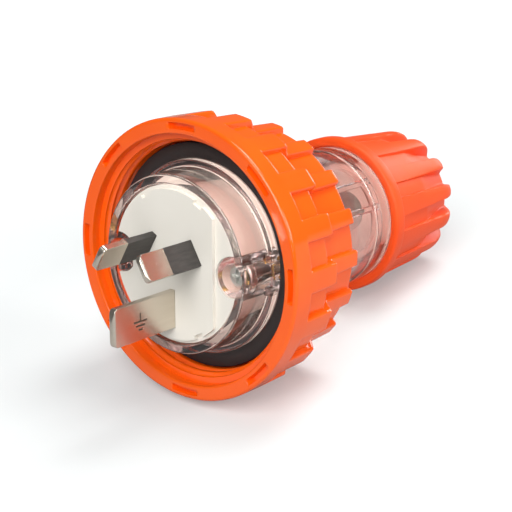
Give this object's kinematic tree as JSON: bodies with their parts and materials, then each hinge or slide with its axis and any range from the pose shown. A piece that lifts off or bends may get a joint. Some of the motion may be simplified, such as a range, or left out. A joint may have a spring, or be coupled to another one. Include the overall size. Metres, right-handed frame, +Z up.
{
  "type": "industrial plug",
  "caption": "Sealed three-pin industrial plug with a castellated screw locking ring, a clear body and a ribbed cable gland nut.",
  "frame": {"origin": "on the floor, under the middle of the plug's length", "axes": "+Z up; +Y horizontal, from the pins to the cable end; +X to the right when the pins are faced. The plug lies on its locking ring and gland nut, so its own axis rises towards the pins."},
  "size_m": [0.067, 0.1194, 0.0682],
  "materials": {
    "ring_orange": "gloss",
    "nut_orange": "satin",
    "clear_plastic": "polished clear moulding",
    "white_plastic": "satin",
    "white_nylon": "satin",
    "grip_nylon": "satin",
    "black_rubber": "matte",
    "natural_rubber": "matte",
    "black_sleeve": "satin",
    "nickel_plated_brass": "nickel plated",
    "terminal_brass": "machined",
    "screw_steel": "zinc plated"
  },
  "bodies": {
    "housing": {"body_shell": "clear_plastic", "nose_shroud": "clear_plastic", "face_gasket": "black_rubber", "nose_seal": "black_rubber", "pin_carrier": "white_plastic", "active_pin": "nickel_plated_brass", "neutral_pin": "nickel_plated_brass", "earth_pin": "nickel_plated_brass", "active_sleeve": "black_sleeve", "neutral_sleeve": "black_sleeve", "active_terminal": "terminal_brass", "neutral_terminal": "terminal_brass", "earth_terminal": "terminal_brass", "active_clamp_screw": "screw_steel", "neutral_clamp_screw": "screw_steel", "earth_clamp_screw": "screw_steel", "right_cover_screw": "screw_steel", "left_cover_screw": "screw_steel", "right_insert": "terminal_brass", "left_insert": "terminal_brass", "cable_grommet": "natural_rubber", "cord_grip": "grip_nylon"},
    "ring": {"locking_ring": "ring_orange"},
    "washer": {"slip_washer": "white_nylon"},
    "nut": {"gland_nut": "nut_orange"}
  },
  "joints": [
    {"name": "ring_turn", "type": "hinge", "parent": "housing", "child": "ring", "pos_m": [0, -0.01876, 0.03236], "axis": [0, -0.9794, 0.2019], "continuous": true},
    {"name": "washer_slide", "type": "slide", "parent": "housing", "child": "washer", "axis": [0, 0.9794, -0.2019], "range_m": [0, 0.0061]},
    {"name": "nut_turn", "type": "hinge", "parent": "washer", "child": "nut", "pos_m": [0, 0.04099, 0.02004], "axis": [0, 0.9794, -0.2019], "range_deg": [0, 720]}
  ],
  "couplings": [
    {"joint": "washer_slide", "follows": "nut_turn", "m_per_rad": 0.00047746}
  ]
}
